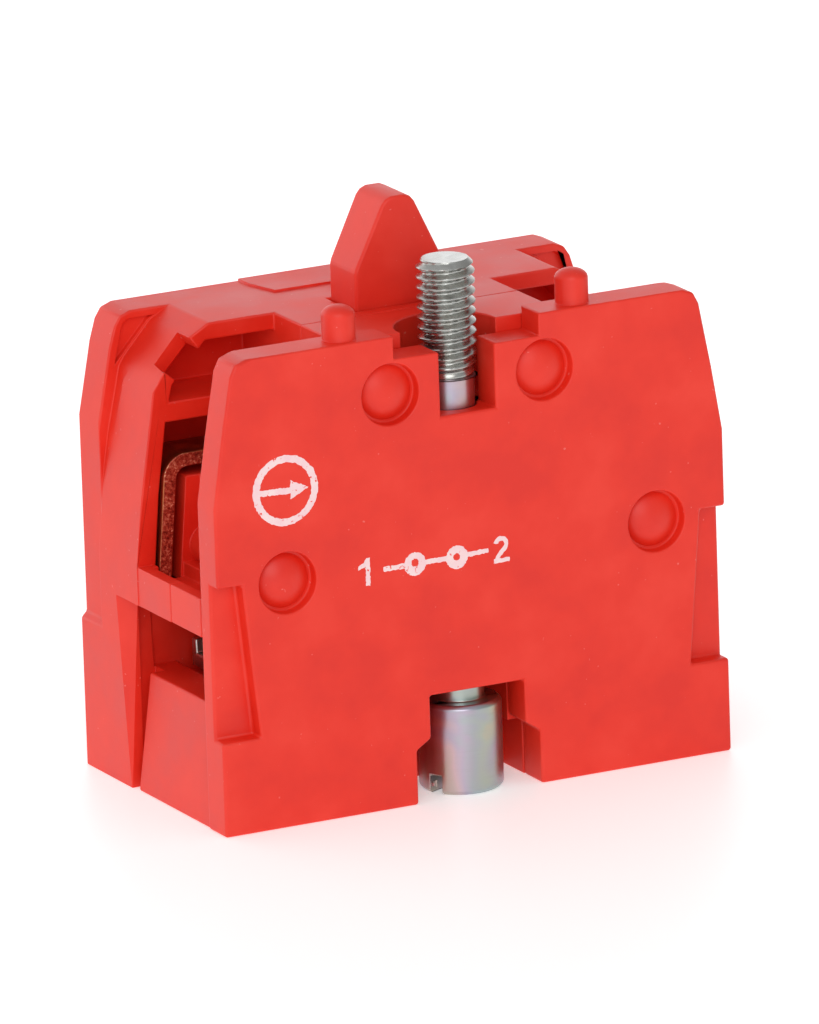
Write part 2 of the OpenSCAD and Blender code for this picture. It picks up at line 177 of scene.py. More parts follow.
def moulded_polyamide(name, grain_depth, seed):
    """Satin red polyamide, with soft flow mottling, a few pale specks and a fine mould grain"""
    material, tree = new_material(name)
    where = add(tree, "ShaderNodeTexCoord").outputs["Object"]
    shifted = add(tree, "ShaderNodeMapping", {"Vector": where, "Location": (seed, seed * 0.7, 0)}).outputs[0]
    flow = add(tree, "ShaderNodeTexNoise",
               {"Vector": shifted, "Scale": 1 / SHRINKAGE_WAVE, "Detail": 3.0, "Roughness": 0.55})
    mottle = add(tree, "ShaderNodeValToRGB", {"Fac": flow.outputs["Fac"]})
    mottle.color_ramp.elements[0].position, mottle.color_ramp.elements[0].color = 0.34, paint(RED_DEEP)
    mottle.color_ramp.elements[1].position, mottle.color_ramp.elements[1].color = 0.70, paint(RED_PALE)
    mottle.color_ramp.elements.new(0.52).color = paint(RED)
    specks = add(tree, "ShaderNodeTexNoise", {"Vector": shifted, "Scale": 1 / SPECK, "Detail": 1.0})
    rare = add(tree, "ShaderNodeMapRange", {0: specks.outputs["Fac"], 1: 0.76, 2: 0.80, 3: 0.0, 4: 0.3})
    colour = add(tree, "ShaderNodeMix", {"Factor": rare.outputs[0], 6: mottle.outputs["Color"],
                                         7: paint(DUST)}, data_type="RGBA")
    gloss = add(tree, "ShaderNodeMapRange", {0: flow.outputs["Fac"], 1: 0.3, 2: 0.7, 3: 0.40, 4: 0.52})
    grain = add(tree, "ShaderNodeTexNoise", {"Vector": shifted, "Scale": 1 / GRAIN, "Detail": 2.0})
    waves = add(tree, "ShaderNodeBump", {"Height": flow.outputs["Fac"], "Strength": 0.35,
                                         "Distance": 0.05 * MM})
    skin = add(tree, "ShaderNodeBump", {"Height": grain.outputs["Fac"], "Strength": 0.4,
                                        "Distance": grain_depth, "Normal": waves.outputs[0]})
    finish_surface(tree, {"Base Color": colour.outputs[2], "Roughness": gloss.outputs[0], "IOR": 1.47,
                          "Subsurface Weight": 0.06, "Subsurface Radius": (1.0, 0.12, 0.06),
                          "Subsurface Scale": 0.5 * MM, "Normal": skin.outputs[0]})
    return material


def evaluated_mesh(piece, name):
    """The piece's mesh with its modifiers applied, which are then removed"""
    bpy.context.view_layer.update()
    evaluated = piece.evaluated_get(bpy.context.evaluated_depsgraph_get())
    mesh = bpy.data.meshes.new_from_object(evaluated)
    mesh.name = name
    piece.modifiers.clear()
    return mesh


def joined_solid(node):
    """A copy of a CAD node's loose triangles as one closed solid with whole flat faces"""
    shape = bmesh.new()
    shape.from_mesh(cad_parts[node].data)
    bmesh.ops.remove_doubles(shape, verts=shape.verts[:], dist=0.002 * MM)
    bmesh.ops.dissolve_limit(shape, angle_limit=radians(0.5), verts=shape.verts[:], edges=shape.edges[:])
    return shape


def edge_room(shape, folds, sharp, radius, crease):
    """How far the rounding of each sharp edge may reach before it meets another line or a corner"""
    tips = {corner for e, fold in folds.items() if fold >= KNIFE_FOLD for corner in e.verts}
    run = {e: e for e in sharp}

    def head_of(edge):
        while run[edge] is not edge:
            edge = run[edge]
        return edge

    for corner in shape.verts:
        meeting = [e for e in corner.link_edges if e in run]
        for i, one in enumerate(meeting):
            for other in meeting[i + 1:]:
                ahead, behind_it = one.other_vert(corner).co, other.other_vert(corner).co
                if (ahead - corner.co).angle(corner.co - behind_it, pi) < SAME_RUN:
                    run[head_of(one)] = head_of(other)
    samples = []
    for edge in sharp:
        count = max(1, int(edge.calc_length() / (0.1 * MM)))
        start, end = (v.co for v in edge.verts)
        samples += [(edge, start.lerp(end, (i + 0.5) / count)) for i in range(count)]
    near = KDTree(len(samples))
    for i, (edge, point) in enumerate(samples):
        near.insert(point, i)
    near.balance()
    room = {e: (0.6 if tips & set(e.verts) else 2.4) * radius for e in sharp}
    for edge, point in samples:
        for _, i, distance in near.find_range(point, room[edge]):
            other = samples[i][0]
            apart = head_of(other) is not head_of(edge) and not set(other.verts) & set(edge.verts)
            if apart and distance < room[edge]:
                room[edge] = distance
    for face in shape.faces:
        for loop in face.loops:
            before, after = loop.link_loop_prev, loop.link_loop_next
            ends = [1 / tan(corner.calc_angle() / 2) for corner, beside in ((loop, before), (after, after))
                    if corner.is_convex and not crease < folds.get(beside.edge, 0) < SOFT_FOLD]
            if sum(ends) > 0:
                most = 0.85 * loop.edge.calc_length() / sum(ends)
                for edge in (before.edge, loop.edge, after.edge):
                    if edge in room:
                        room[edge] = min(room[edge], most / ROOM_SHARE)
    return room


def rounded_piece(shape, name, radius, materials, segments=3, crease=SOFT_FOLD):
    """Rounds a solid's edges by radius, or by less where there is no room for it"""
    weight = shape.edges.layers.float.new("bevel_weight_edge")
    folds = {e: e.calc_face_angle(0) for e in shape.edges if len(e.link_faces) == 2}
    sharp = [e for e, fold in folds.items() if SOFT_FOLD < fold < KNIFE_FOLD]
    room = edge_room(shape, folds, sharp, radius, crease)
    for edge, fold in folds.items():
        edge.smooth = fold < crease
    for edge in sharp:
        least = min(1.0, ROOM_SHARE * room[edge] / radius)
        edge[weight] = least if least * radius > 0.02 * MM else 0.0
        edge.smooth = edge[weight] > 0
    mesh = bpy.data.meshes.new(name)
    shape.to_mesh(mesh)
    shape.free()
    for face in mesh.polygons:
        face.use_smooth = True
    for material in materials:
        mesh.materials.append(material)
    piece = place(mesh, name)
    bevel = piece.modifiers.new("rounding", "BEVEL")
    bevel.limit_method = "WEIGHT"
    bevel.width = radius
    bevel.segments = segments
    bevel.use_clamp_overlap = False
    piece.data = evaluated_mesh(piece, name)
    rounded = bmesh.new()
    rounded.from_mesh(piece.data)
    for edge in rounded.edges:
        if edge.calc_face_angle(pi) > radians(38):
            edge.smooth = False
    rounded.to_mesh(piece.data)
    rounded.free()
    even = piece.modifiers.new("even shading", "WEIGHTED_NORMAL")
    even.keep_sharp = True
    piece.data = evaluated_mesh(piece, name)
    return piece


housing_red = moulded_polyamide("moulded_red_polyamide", 0.012 * MM, 0.0)
housing = rounded_piece(joined_solid("housing"), "housing_moulding", HOUSING_ROUND, [housing_red])
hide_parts("housing")
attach(housing, "case")

# ---- return spring -------------------------------------------------------------
# A compression spring of drawn stainless wire with closed ends. It stands on the housing's
# post, reaches up into a seat in the plunger, and pushes the plunger out again.
SPRING_WIRE = 0.25 * MM
SPRING_COIL = 1.75 * MM
SPRING_TURNS = 9


def drawn_wire(name):
    """Bright drawn stainless wire, with faint draw lines"""
    material, tree = new_material(name)
    where = add(tree, "ShaderNodeTexCoord").outputs["Object"]
    lines = add(tree, "ShaderNodeTexNoise", {"Vector": where, "Scale": 1 / (0.12 * MM), "Detail": 2.0})
    tint = add(tree, "ShaderNodeMix", {"Factor": lines.outputs["Fac"], 6: paint("#A9ADB0"),
                                       7: paint("#C9CCCD")}, data_type="RGBA")
    gloss = add(tree, "ShaderNodeMapRange", {0: lines.outputs["Fac"], 3: 0.22, 4: 0.36})
    finish_surface(tree, {"Base Color": tint.outputs[2], "Metallic": 1.0, "Roughness": gloss.outputs[0]})
    return material


def node_group(name, sockets):
    """An empty geometry tree with its named inputs, and the node that gives them"""
    tree = bpy.data.node_groups.new(name, "GeometryNodeTree")
    tree.interface.new_socket("Geometry", in_out="OUTPUT", socket_type="NodeSocketGeometry")
    for socket, kind in sockets:
        tree.interface.new_socket(socket, in_out="INPUT", socket_type=kind)
    return tree, tree.nodes.new("NodeGroupInput")


def end_group(tree, geometry, material):
    whole = add(tree, "GeometryNodeRealizeInstances", {0: geometry})
    coloured = add(tree, "GeometryNodeSetMaterial", {"Geometry": whole.outputs[0], "Material": material})
    tree.links.new(coloured.outputs[0], tree.nodes.new("NodeGroupOutput").inputs[0])


def grown_mesh(tree, name, values):
    """The plain mesh that a geometry tree makes from these values"""
    piece = place(bpy.data.meshes.new(name), name)
    growth = piece.modifiers.new("growth", "NODES")
    growth.node_group = tree
    sockets = {s.name: s.identifier for s in tree.interface.items_tree if s.in_out == "INPUT"}
    for socket, value in values.items():
        growth[sockets[socket]] = value
    mesh = evaluated_mesh(piece, name)
    bpy.data.objects.remove(piece)
    for face in mesh.polygons:
        face.use_smooth = True
    return mesh


FLOAT, VECTOR = "NodeSocketFloat", "NodeSocketVector"
INTEGER, SURFACE = "NodeSocketInt", "NodeSocketMaterial"
coil, given = node_group("compression spring", (
    ("Foot", VECTOR), ("Height", FLOAT), ("Coil Radius", FLOAT), ("Wire Radius", FLOAT), ("Turns", FLOAT),
    ("Wire", SURFACE)))
flat = add(coil, "GeometryNodeCurveSpiral", {
    "Resolution": 40, "Rotations": given.outputs["Turns"], "Start Radius": given.outputs["Coil Radius"],
    "End Radius": given.outputs["Coil Radius"], "Height": 0.0})
along = add(coil, "GeometryNodeSplineParameter").outputs["Factor"]
turned = add(coil, "ShaderNodeMath", {0: along, 1: given.outputs["Turns"]}, operation="MULTIPLY")
active = add(coil, "ShaderNodeMath", {0: given.outputs["Turns"], 1: 0.75}, operation="SUBTRACT")
lift = add(coil, "ShaderNodeMapRange", {0: turned.outputs[0], 1: 0.75, 2: active.outputs[0]})
thickness = add(coil, "ShaderNodeMath", {0: given.outputs["Wire Radius"], 1: 2.0}, operation="MULTIPLY")
inside = add(coil, "ShaderNodeMath", {0: given.outputs["Height"], 1: thickness.outputs[0]},
             operation="SUBTRACT")
rise = add(coil, "ShaderNodeMath", {0: lift.outputs[0], 1: inside.outputs[0],
                                    2: given.outputs["Wire Radius"]}, operation="MULTIPLY_ADD")
step = add(coil, "ShaderNodeCombineXYZ", {"Z": rise.outputs[0]})
offset = add(coil, "ShaderNodeVectorMath", {0: step.outputs[0], 1: given.outputs["Foot"]}, operation="ADD")
wound = add(coil, "GeometryNodeSetPosition", {"Geometry": flat.outputs[0], "Offset": offset.outputs[0]})
section = add(coil, "GeometryNodeCurvePrimitiveCircle",
              {"Resolution": 12, "Radius": given.outputs["Wire Radius"]})
wire = add(coil, "GeometryNodeCurveToMesh", {"Curve": wound.outputs[0], "Profile Curve": section.outputs[0],
                                             "Fill Caps": True})
end_group(coil, wire.outputs[0], given.outputs["Wire"])


def wound_spring(node, name, coil_radius, wire_radius, turns, wire_finish):
    """A finely wound spring in the place of a node's coarse one"""
    low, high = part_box(node)
    foot = Vector(((low[0] + high[0]) / 2, 2.95 * MM, low[2]))
    mesh = grown_mesh(coil, name, {"Foot": foot, "Height": high[2] - low[2], "Coil Radius": coil_radius,
                                   "Wire Radius": wire_radius, "Turns": float(turns), "Wire": wire_finish})
    return place(mesh, name)


spring_wire = drawn_wire("drawn_stainless_wire")
return_spring = wound_spring("return_spring", "return_spring_wire", SPRING_COIL, SPRING_WIRE, SPRING_TURNS,
                             spring_wire)
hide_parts("return_spring")
low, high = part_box("return_spring")
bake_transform(return_spring)

# ---- plunger -----------------------------------------------------------------
# The pusher, moulded in the same red polyamide: a wedge-shaped nose over a carriage with a
# window for the bridge. Its mould closes along the middle of the nose, which leaves a faint ridge.
PLUNGER_ROUND = 0.22 * MM
plunger_red = moulded_polyamide("moulded_red_polyamide_nose", 0.010 * MM, 0.021)
plunger = rounded_piece(joined_solid("plunger"), "plunger_moulding", PLUNGER_ROUND, [plunger_red],
                        crease=radians(7))
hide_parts("plunger")
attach(plunger, "plunger")

# ---- contact bridge and contact spring -------------------------------------------
# A blanked copper-alloy bar with a silver rivet at each end. The small spring below it rides
# in the plunger's window and keeps the bridge pressed against the fixed contacts.
CONTACT_WIRE = 0.2 * MM
CONTACT_COIL = 1.3 * MM
CONTACT_TURNS = 6


def rolled_copper(name, bright, dull, roughness):
    """Rolled copper alloy, brown with handling, in patches a few millimetres across"""
    material, tree = new_material(name)
    where = add(tree, "ShaderNodeTexCoord").outputs["Object"]
    patches = add(tree, "ShaderNodeTexNoise", {"Vector": where, "Scale": 1 / (1.6 * MM), "Detail": 5.0})
    stretched = add(tree, "ShaderNodeMapping", {"Vector": where, "Scale": (1.0, 9.0, 1.0)}).outputs[0]
    rolling = add(tree, "ShaderNodeTexNoise", {"Vector": stretched, "Scale": 1 / (0.5 * MM), "Detail": 2.0})
    tone = add(tree, "ShaderNodeMapRange", {0: patches.outputs["Fac"], 1: 0.35, 2: 0.68})
    colour = add(tree, "ShaderNodeMix", {"Factor": tone.outputs[0], 6: paint(dull), 7: paint(bright)},
                 data_type="RGBA")
    gloss = add(tree, "ShaderNodeMapRange",
                {0: patches.outputs["Fac"], 3: roughness + 0.1, 4: roughness - 0.1})
    lines = add(tree, "ShaderNodeBump",
                {"Height": rolling.outputs["Fac"], "Strength": 0.5, "Distance": 0.02 * MM})
    finish_surface(tree, {"Base Color": colour.outputs[2], "Metallic": 1.0, "Roughness": gloss.outputs[0],
                          "Normal": lines.outputs[0]})
    return material


def sheared_copper(name):
    """The torn edge of blanked strip: redder and rough, with pale painted glints speckled along it"""
    material, tree = new_material(name)
    where = add(tree, "ShaderNodeTexCoord").outputs["Object"]
    torn = add(tree, "ShaderNodeTexNoise",
               {"Vector": where, "Scale": 1 / (0.22 * MM), "Detail": 5.0, "Roughness": 0.7})
    torn_tone_and_painted_glints = add(tree, "ShaderNodeValToRGB", {"Fac": torn.outputs["Fac"]})
    torn_tone_and_painted_glints.color_ramp.elements[0].position, torn_tone_and_painted_glints.color_ramp.elements[0].color = 0.36, paint("#6E2418")
    # The palest stops of this ramp are painted glints: light caught by the torn metal, painted as colour
    torn_tone_and_painted_glints.color_ramp.elements[1].position, torn_tone_and_painted_glints.color_ramp.elements[1].color = 0.66, paint("#F2D9B4")
    torn_tone_and_painted_glints.color_ramp.elements.new(0.48).color = paint("#B0503C")
    torn_tone_and_painted_glints.color_ramp.elements.new(0.59).color = paint("#CB7E5E")
    crumbs = add(tree, "ShaderNodeBump",
                 {"Height": torn.outputs["Fac"], "Strength": 0.8, "Distance": 0.05 * MM})
    finish_surface(tree, {"Base Color": torn_tone_and_painted_glints.outputs["Color"], "Metallic": 0.75, "Roughness": 0.42,
                          "Normal": crumbs.outputs[0]})
    return material


def dulled_silver(name):
    """Fine silver, slightly yellow-grey where it has tarnished"""
    material, tree = new_material(name)
    where = add(tree, "ShaderNodeTexCoord").outputs["Object"]
    tarnish = add(tree, "ShaderNodeTexNoise", {"Vector": where, "Scale": 1 / (0.7 * MM), "Detail": 4.0})
    colour = add(tree, "ShaderNodeMix", {"Factor": tarnish.outputs["Fac"], 6: paint("#DEDCD2"),
                                         7: paint("#B4AE9C")}, data_type="RGBA")
    gloss = add(tree, "ShaderNodeMapRange", {0: tarnish.outputs["Fac"], 3: 0.25, 4: 0.5})
    finish_surface(tree, {"Base Color": colour.outputs[2], "Metallic": 1.0, "Roughness": gloss.outputs[0]})
    return material


copper = rolled_copper("rolled_copper_alloy", "#C47A4E", "#8E4A2E", 0.38)
silver = dulled_silver("fine_silver")
bridge = rounded_piece(joined_solid("bridge"), "bridge_bar", 0.1 * MM, [copper])
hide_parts("bridge")
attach(bridge, "bridge")
for node in ("bridge_tip_left", "bridge_tip_right", "fixed_tip_left", "fixed_tip_right"):
    rivet = rounded_piece(joined_solid(node), node + "_rivet", 0.08 * MM, [silver])
    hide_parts(node)
    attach(rivet, "bridge" if node.startswith("bridge") else "case")
contact_spring = wound_spring("contact_spring", "contact_spring_wire", CONTACT_COIL, CONTACT_WIRE,
                              CONTACT_TURNS, spring_wire)
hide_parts("contact_spring")
low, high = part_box("contact_spring")
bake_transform(contact_spring)

# ---- fixed contacts ------------------------------------------------------------
# Two strips blanked and bent from copper alloy, pushed into slots beside the chamber. Their
# rolled faces are dull brown; the sheared edge that faces the cover is rougher and redder.
sheared = sheared_copper("sheared_copper_edge_painted_glints")
for side in ("left", "right"):
    shape = joined_solid("fixed_contact_" + side)
    for face in shape.faces:
        if abs(face.normal.y) > 0.9:
            face.material_index = 1
    strip = rounded_piece(shape, f"fixed_contact_{side}_strip", 0.11 * MM, [copper, sheared])
    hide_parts("fixed_contact_" + side)
    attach(strip, "case")

# ---- screw terminals -----------------------------------------------------------
# A steel pan-head screw, a split lock washer and a pressed saddle plate on each side, all zinc
# plated. The thread is M3.5 and draws the plate up against the fixed contact.
TERMINAL_PITCH = 0.6 * MM
TERMINAL_THREAD = 1.75 * MM


def plated_steel(name, tints, patch, roughness, lines):
    """Zinc-plated steel, with a thin passivation film that tints it in soft patches of this size"""
    material, tree = new_material(name)
    where = add(tree, "ShaderNodeTexCoord").outputs["Object"]
    film = add(tree, "ShaderNodeTexNoise",
               {"Vector": where, "Scale": 1 / patch, "Detail": 2.0, "Distortion": 0.4})
    rainbow = add(tree, "ShaderNodeValToRGB", {"Fac": film.outputs["Fac"]})
    first, last = rainbow.color_ramp.elements
    first.position, first.color = 0.30, paint(tints[0])
    last.position, last.color = 0.70, paint(tints[-1])
    for i, tint in enumerate(tints[1:-1]):
        rainbow.color_ramp.elements.new(0.30 + 0.40 * (i + 1) / (len(tints) - 1)).color = paint(tint)
    stretched = add(tree, "ShaderNodeMapping", {"Vector": where, "Scale": (1.0, 1.0, 14.0)}).outputs[0]
    turning = add(tree, "ShaderNodeTexNoise", {"Vector": stretched, "Scale": 1 / (1.4 * MM), "Detail": 3.0})
    worn = add(tree, "ShaderNodeMapRange", {0: turning.outputs["Fac"], 1: 0.60, 2: 0.85, 3: 0.0, 4: 0.35})
    colour = add(tree, "ShaderNodeMix", {"Factor": worn.outputs[0], 6: rainbow.outputs["Color"],
                                         7: paint("#A3A39E")}, data_type="RGBA")
    gloss = add(tree, "ShaderNodeMapRange",
                {0: turning.outputs["Fac"], 3: roughness - 0.07, 4: roughness + 0.1})
    marks = add(tree, "ShaderNodeBump",
                {"Height": turning.outputs["Fac"], "Strength": lines, "Distance": 0.02 * MM})
    finish_surface(tree, {"Base Color": colour.outputs[2], "Metallic": 1.0, "Roughness": gloss.outputs[0],
                          "Normal": marks.outputs[0]})
    return material


# One turn of the thread is drawn on a grid that is rolled into a tube: u goes round it, v up it
thread, given = node_group("rolled thread", (
    ("Foot", VECTOR), ("Length", FLOAT), ("Crest Radius", FLOAT), ("Root Radius", FLOAT),
    ("Shank Radius", FLOAT), ("Pitch", FLOAT), ("Chamfer", FLOAT), ("Run-out", FLOAT), ("Rows", INTEGER),
    ("Steel", SURFACE)))


def calculate(operation, *values, clamp=False):
    """One arithmetic step of the thread's tree"""
    return add(thread, "ShaderNodeMath", enumerate(values), operation=operation, use_clamp=clamp).outputs[0]


sheet = add(thread, "GeometryNodeMeshGrid", {"Size X": 1.0, "Size Y": 1.0, "Vertices X": 73,
                                             "Vertices Y": given.outputs["Rows"]})
spread = add(thread, "ShaderNodeSeparateXYZ", {0: add(thread, "GeometryNodeInputPosition").outputs[0]})
round_share = calculate("ADD", spread.outputs["X"], 0.5)
up_share = calculate("ADD", spread.outputs["Y"], 0.5)
margin = calculate("DIVIDE", 1.0, calculate("SUBTRACT", given.outputs["Rows"], 1.0))
full_share = add(thread, "ShaderNodeMapRange",
                 {0: up_share, 1: margin, 2: calculate("SUBTRACT", 1.0, margin)})
up = calculate("MULTIPLY", full_share.outputs[0], given.outputs["Length"])
turns_up = calculate("DIVIDE", up, given.outputs["Pitch"])
phase = calculate("FRACT", calculate("SUBTRACT", turns_up, round_share))
tooth = calculate("SUBTRACT", 1.0, calculate("ABSOLUTE", calculate("MULTIPLY_ADD", phase, 2.0, -1.0)))
flattened = calculate("MULTIPLY_ADD", tooth, 1.45, -0.25, clamp=True)
cut = calculate("MULTIPLY", flattened, calculate("SUBTRACT", given.outputs["Crest Radius"],
                                                 given.outputs["Root Radius"]))
threaded = calculate("ADD", cut, given.outputs["Root Radius"])
formed = add(thread, "ShaderNodeMapRange", {0: up, 1: 0.0, 2: given.outputs["Run-out"]}).outputs[0]
blended = add(thread, "ShaderNodeMix",
              {"Factor": formed, 2: given.outputs["Shank Radius"], 3: threaded}).outputs[0]
left_over = calculate("SUBTRACT", given.outputs["Length"], up)
tip_radius = calculate("SUBTRACT", given.outputs["Crest Radius"], given.outputs["Chamfer"])
chamfered = calculate("ADD", tip_radius, left_over)
outline = calculate("MINIMUM", blended, chamfered)
half_row = calculate("MULTIPLY", margin, 0.5)
off_ends = calculate("MULTIPLY", calculate("GREATER_THAN", up_share, half_row),
                     calculate("LESS_THAN", up_share, calculate("SUBTRACT", 1.0, half_row)))
radius = calculate("MULTIPLY", outline, off_ends)
angle = calculate("MULTIPLY", round_share, tau)
rolled = add(thread, "ShaderNodeCombineXYZ", {
    "X": calculate("MULTIPLY", radius, calculate("COSINE", angle)),
    "Y": calculate("MULTIPLY", radius, calculate("SINE", angle)), "Z": up})
stood = add(thread, "ShaderNodeVectorMath", {0: rolled.outputs[0], 1: given.outputs["Foot"]}, operation="ADD")
tube = add(thread, "GeometryNodeSetPosition", {"Geometry": sheet.outputs[0], "Position": stood.outputs[0]})
closed = add(thread, "GeometryNodeMergeByDistance", {"Geometry": tube.outputs[0], "Distance": 0.001 * MM})
end_group(thread, closed.outputs[0], given.outputs["Steel"])


def threaded_screw(node, name, thread_foot, thread_values, round_by, finishes):
    """A node's head and shank with rounded edges, and a real helical thread from thread_foot up"""
    shape = joined_solid(node)
    above = [v for v in shape.verts if v.co.z > thread_foot + 0.02 * MM]
    bmesh.ops.delete(shape, geom=above, context="VERTS")
    bmesh.ops.holes_fill(shape, edges=[e for e in shape.edges if e.is_boundary], sides=0)
    body = rounded_piece(shape, name, round_by, finishes)
    helix = grown_mesh(thread, name + "_thread", thread_values)
    helix.set_sharp_from_angle(angle=radians(38))
    whole = bmesh.new()
    for part, slot in ((body.data, 0), (helix, 1)):
        before = len(whole.faces)
        whole.from_mesh(part)
        whole.faces.ensure_lookup_table()
        for face in whole.faces[before:]:
            face.material_index = slot
    bmesh.ops.recalc_face_normals(whole, faces=whole.faces[:])
    mesh = bpy.data.meshes.new(name)
    whole.to_mesh(mesh)
    whole.free()
    for finish in finishes:
        mesh.materials.append(finish)
    body.data = mesh
    return body


zinc = plated_steel("zinc_plated_steel", ("#BDBFBD", "#CFCFCB", "#C4C2BA", "#D2D0C6"), 2.5 * MM, 0.30, 0.25)
# The threads carry the same zinc plating as the heads, painted darker here as painted shade for the shaded
# roots of the thread
zinc_thread_painted_shade = plated_steel("zinc_plated_thread_painted_shade", ("#989894", "#B4B5B1", "#A3A19B"), 2.5 * MM, 0.25, 0.08)
for side in ("left", "right"):
    screw_node, body = "terminal_screw_" + side, "terminal_screw_" + side
    low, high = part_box(screw_node)
    middle = [(a + b) / 2 for a, b in zip(low, high)]
    foot = low[2] + 2.4 * MM
    screw = threaded_screw(screw_node, f"terminal_screw_{side}_m35", foot, {
        "Foot": Vector((middle[0], middle[1], foot - 0.05 * MM)), "Length": high[2] - foot + 0.05 * MM,
        "Crest Radius": TERMINAL_THREAD, "Root Radius": 1.38 * MM, "Shank Radius": 1.55 * MM,
        "Pitch": TERMINAL_PITCH, "Chamfer": 0.3 * MM, "Run-out": 0.8 * MM, "Rows": 200, "Steel": zinc_thread_painted_shade},
        0.18 * MM, [zinc, zinc_thread_painted_shade])
    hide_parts(screw_node)
    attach(screw, body)
    for node, rounding in (("lock_washer_" + side, 0.06), ("clamp_plate_" + side, 0.14)):
        plate = rounded_piece(joined_solid(node), node + "_pressing", rounding * MM, [zinc])
        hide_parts(node)
        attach(plate, "clamp_" + side)

# ---- inner frame ---------------------------------------------------------------
# The middle moulding, in the same red polyamide. It closes the contact chamber, fills the front
# half of the side bars with its two tongues, and guides the fixing screw in a half channel.
inner_frame = rounded_piece(joined_solid("inner_frame"), "inner_frame_moulding", 0.13 * MM, [housing_red])
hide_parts("inner_frame")
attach(inner_frame, "case")

# ---- fixing screw --------------------------------------------------------------
# An M4 screw turned and thread-rolled in steel, zinc plated with an iridescent passivation. The
# rolled thread is wider than its shank, so the screw is captive. Its slot is sawn, with burrs.
FIXING_PITCH = 0.7 * MM
FIXING_AXIS = -7.9 * MM
THREAD_FOOT = 28.9 * MM
SLOT_TURN = radians(25)


def burr(whole, at, turn, reach, height, seed):
    """A torn curl of steel that the saw leaves at one end of the slot"""
    pick = random.Random(seed)
    rings = []
    for i in range(7):
        share = i / 6
        bend = turn + 0.9 * share * share
        wide = 0.16 * MM * (1 - 0.75 * share) * (0.8 + 0.4 * pick.random())
        deep = height * (1 - 0.6 * share) * (0.85 + 0.3 * pick.random())
        middle = at + Vector((cos(bend), sin(bend), 0)) * reach * share
        across = Vector((-sin(bend), cos(bend), 0)) * wide / 2
        lift = Vector((0, 0, deep / 2))
        rise = Vector((0, 0, 0.12 * MM * share * share))
        rings.append([whole.verts.new(middle + rise + s * across + t * lift)
                      for s, t in ((-1, -1), (1, -1), (1, 1), (-1, 1))])
    for one, two in zip(rings, rings[1:]):
        for k in range(4):
            whole.faces.new((one[k], one[(k + 1) % 4], two[(k + 1) % 4], two[k]))
    whole.faces.new(rings[0][::-1])
    whole.faces.new(rings[-1])


PASTELS = ("#B9AFA2", "#C6B0B4", "#B3ABBB", "#ABB4B8", "#AFBCB0", "#C0BBA0")
iridescent = plated_steel("iridescent_zinc_plate", PASTELS, 4.5 * MM, 0.33, 0.06)
low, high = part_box("fixing_screw")
fixing_screw = threaded_screw("fixing_screw", "fixing_screw_m4", THREAD_FOOT, {
    "Foot": Vector((0, FIXING_AXIS, THREAD_FOOT - 0.04 * MM)), "Length": high[2] - THREAD_FOOT + 0.04 * MM,
    "Crest Radius": 2.0 * MM, "Root Radius": 1.6 * MM, "Shank Radius": 1.72 * MM, "Pitch": FIXING_PITCH,
    "Chamfer": 0.42 * MM, "Run-out": 1.5 * MM, "Rows": 190, "Steel": zinc_thread_painted_shade},
    0.14 * MM, [iridescent, zinc_thread_painted_shade])
torn = bmesh.new()
torn.from_mesh(fixing_screw.data)
for end, reach, height, seed in ((pi, 0.75, 0.5, 3), (0.0, 0.55, 0.75, 8)):
    rim = Vector((cos(SLOT_TURN + end), sin(SLOT_TURN + end), 0)) * 2.72 * MM
    start = Vector((0, FIXING_AXIS, 0.75 * MM)) + rim
    burr(torn, start, SLOT_TURN + end - 0.5, reach * MM, height * MM, seed)
bmesh.ops.recalc_face_normals(torn, faces=torn.faces[:])
torn.to_mesh(fixing_screw.data)
torn.free()
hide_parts("fixing_screw")
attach(fixing_screw, "fixing_screw")

# ---- cover ---------------------------------------------------------------------
# The front plate, moulded in the same red polyamide, with two locating pegs on its top edge.
# The housing's pins come through it into round counterbores, where they are staked.
COVER_ROUND = 0.22 * MM
cover = rounded_piece(joined_solid("cover"), "cover_moulding", COVER_ROUND, [housing_red])
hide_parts("cover")
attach(cover, "case")

# ---- pad print -------------------------------------------------------------------
# White ink pressed on the cover's front from a silicone pad: an arrow in a ring, and the sign of
# a closed contact between the terminal numbers 1 and 2. The film is thin, patchy and ragged.
INK_DEPTH = 0.012 * MM
LAYER_STEP = 0.0015 * MM
RAGGED = 0.035 * MM


def pad_ink(name):
    """Thin white ink, tinted by the red below it and worn through in small spots"""
    material, tree = new_material(name)
    where = add(tree, "ShaderNodeTexCoord").outputs["Object"]
    cloud = add(tree, "ShaderNodeTexNoise", {"Vector": where, "Scale": 1 / (0.8 * MM), "Detail": 3.0})
    white = add(tree, "ShaderNodeMix", {"Factor": cloud.outputs["Fac"], 6: paint("#F6E6E0"),
                                        7: paint("#F0BCC6")}, data_type="RGBA")
    wear = add(tree, "ShaderNodeTexNoise", {"Vector": where, "Scale": 1 / (0.28 * MM), "Detail": 4.0})
    through = add(tree, "ShaderNodeMapRange", {0: wear.outputs["Fac"], 1: 0.63, 2: 0.70})
    colour = add(tree, "ShaderNodeMix", {"Factor": through.outputs[0], 6: white.outputs[2],
                                         7: paint(RED_PALE)}, data_type="RGBA")
    finish_surface(tree, {"Base Color": colour.outputs[2], "Roughness": 0.6, "IOR": 1.5})
    return material


def ring_outline(centre, radius, start=0.0, end=tau, count=96):
    return [(centre[0] + radius * cos(start + (end - start) * i / count),
             centre[1] + radius * sin(start + (end - start) * i / count)) for i in range(count)]


def stroke(points, width):
    """The outline of a line of constant width with square ends through these points"""
    left, right = [], []
    for i, (x, z) in enumerate(points):
        before, after = points[max(0, i - 1)], points[min(len(points) - 1, i + 1)]
        way = atan2(after[1] - before[1], after[0] - before[0]) + pi / 2
        left.append((x + cos(way) * width / 2, z + sin(way) * width / 2))
        right.append((x - cos(way) * width / 2, z - sin(way) * width / 2))
    return left + right[::-1]


